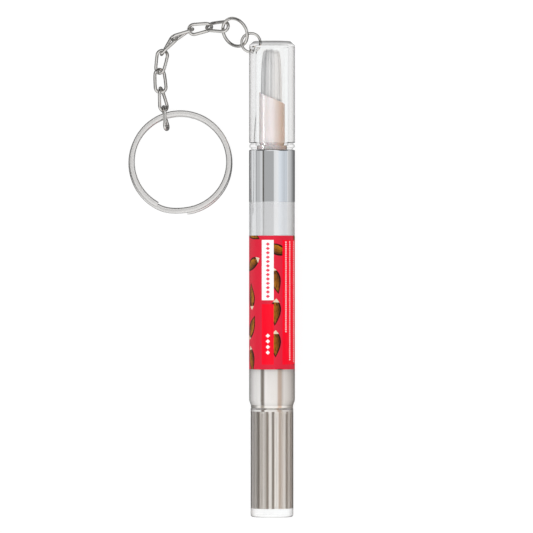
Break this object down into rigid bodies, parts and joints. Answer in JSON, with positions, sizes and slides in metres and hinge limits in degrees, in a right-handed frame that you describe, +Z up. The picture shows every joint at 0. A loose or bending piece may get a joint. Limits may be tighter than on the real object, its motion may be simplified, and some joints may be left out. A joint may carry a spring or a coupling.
{
  "type": "nail oil pen",
  "caption": "Twist-up nail oil pen with a brush tip in a slanted nozzle, a clear snap cap, a clear ribbed knob, and a key ring on a fine twisted-link chain.",
  "frame": {"origin": "centre of the knob's flat end face, on the pen's axis", "axes": "+Y along the pen's axis from the knob to the cap, +X to the right seen from above with the key ring on the -X side, +Z up from the table that the pen lies on"},
  "size_m": [0.0475, 0.1428, 0.013],
  "materials": {
    "clear_plastic": "clear, polished",
    "metallised_plastic": "metallised, satin gloss",
    "printed_film": "printed and laminated, gloss",
    "nude_plastic": "translucent, satin",
    "bristle_nylon": "fine nylon strands",
    "white_plastic": "moulded, satin",
    "piston_plastic": "moulded, smooth",
    "rod_plastic": "moulded, smooth",
    "seal_rubber": "matt",
    "spring_steel": "stamped",
    "plated_steel": "bright nickel plate",
    "ring_steel": "bright nickel plate"
  },
  "bodies": {
    "pen": {"barrel": "clear_plastic", "guide_nut": "white_plastic", "silver_sleeve": "metallised_plastic", "label_film": "printed_film", "brush_holder": "white_plastic", "neck_seal": "seal_rubber", "nozzle": "nude_plastic", "feed_tube": "white_plastic", "brush_bristles": "bristle_nylon"},
    "knob": {"knob": "clear_plastic", "drive_sleeve": "white_plastic", "click_spring": "spring_steel"},
    "rod": {"screw_rod": "rod_plastic"},
    "piston": {"piston": "piston_plastic"},
    "cap": {"cap": "clear_plastic"},
    "small_ring": {"small_ring": "plated_steel"},
    "large_ring": {"large_ring": "plated_steel"},
    "chain_link_1": {"chain_link_1": "plated_steel"},
    "chain_link_2": {"chain_link_2": "plated_steel"},
    "chain_link_3": {"chain_link_3": "plated_steel"},
    "chain_link_4": {"chain_link_4": "plated_steel"},
    "chain_link_5": {"chain_link_5": "plated_steel"},
    "chain_link_6": {"chain_link_6": "plated_steel"},
    "chain_link_7": {"chain_link_7": "plated_steel"},
    "chain_link_8": {"chain_link_8": "plated_steel"},
    "split_ring": {"split_ring": "ring_steel"}
  },
  "joints": [
    {"name": "knob_twist", "type": "hinge", "parent": "pen", "child": "knob", "pos_m": [0, 0.0155, 0], "axis": [0, 1, 0], "range_deg": [0, 3240]},
    {"name": "rod_advance", "type": "slide", "parent": "knob", "child": "rod", "axis": [0, 1, 0], "range_m": [0, 0.0225]},
    {"name": "piston_advance", "type": "slide", "parent": "pen", "child": "piston", "axis": [0, 1, 0], "range_m": [0, 0.0225]},
    {"name": "cap_pull", "type": "slide", "parent": "pen", "child": "cap", "axis": [0, 1, 0], "range_m": [0, 0.04]},
    {"name": "small_ring_turn", "type": "hinge", "parent": "cap", "child": "small_ring", "pos_m": [-0.00602, 0.13547, 0], "axis": [0, 0, 1], "range_deg": [-60, 0]},
    {"name": "large_ring_swing", "type": "hinge", "parent": "small_ring", "child": "large_ring", "pos_m": [-0.00826, 0.13696, 0], "axis": [-0.5534, -0.8329, 0], "range_deg": [-35, 8]},
    {"name": "link_1_swing", "type": "hinge", "parent": "large_ring", "child": "chain_link_1", "pos_m": [-0.0128, 0.14077, -0.00163], "axis": [0, 0, 1], "range_deg": [-26, 8]},
    {"name": "link_2_swing", "type": "hinge", "parent": "chain_link_1", "child": "chain_link_2", "pos_m": [-0.01794, 0.13989, -0.00446], "axis": [0.1736, -0.9848, 0], "range_deg": [-30, 10]},
    {"name": "link_3_swing", "type": "hinge", "parent": "chain_link_2", "child": "chain_link_3", "pos_m": [-0.0234, 0.13896, -0.00461], "axis": [0, 0, -1], "range_deg": [-8, 45]},
    {"name": "link_4_swing", "type": "hinge", "parent": "chain_link_3", "child": "chain_link_4", "pos_m": [-0.02816, 0.13703, -0.00456], "axis": [-0.788, 0.6157, 0], "range_deg": [-8, 30]},
    {"name": "link_5_swing", "type": "hinge", "parent": "chain_link_4", "child": "chain_link_5", "pos_m": [-0.0313, 0.13294, -0.00467], "axis": [0, 0, 1], "range_deg": [-40, 6]},
    {"name": "link_6_swing", "type": "hinge", "parent": "chain_link_5", "child": "chain_link_6", "pos_m": [-0.03218, 0.12743, -0.00487], "axis": [0.9962, 0.0872, 0], "range_deg": [-18, 15]},
    {"name": "link_7_swing", "type": "hinge", "parent": "chain_link_6", "child": "chain_link_7", "pos_m": [-0.03161, 0.12202, -0.00479], "axis": [0, 0, -1], "range_deg": [-12, 38]},
    {"name": "link_8_swing", "type": "hinge", "parent": "chain_link_7", "child": "chain_link_8", "pos_m": [-0.03085, 0.11668, -0.00459], "axis": [-0.9903, -0.1392, 0], "range_deg": [-12, 20]},
    {"name": "key_ring_turn", "type": "hinge", "parent": "chain_link_8", "child": "split_ring", "pos_m": [-0.03087, 0.11172, -0.0044], "axis": [0, 0, 1], "range_deg": [-45, 10]}
  ],
  "couplings": [
    {"joint": "knob_twist", "follows": "rod_advance", "rad_per_m": 2513.2},
    {"joint": "piston_advance", "follows": "rod_advance", "ratio": 1}
  ]
}
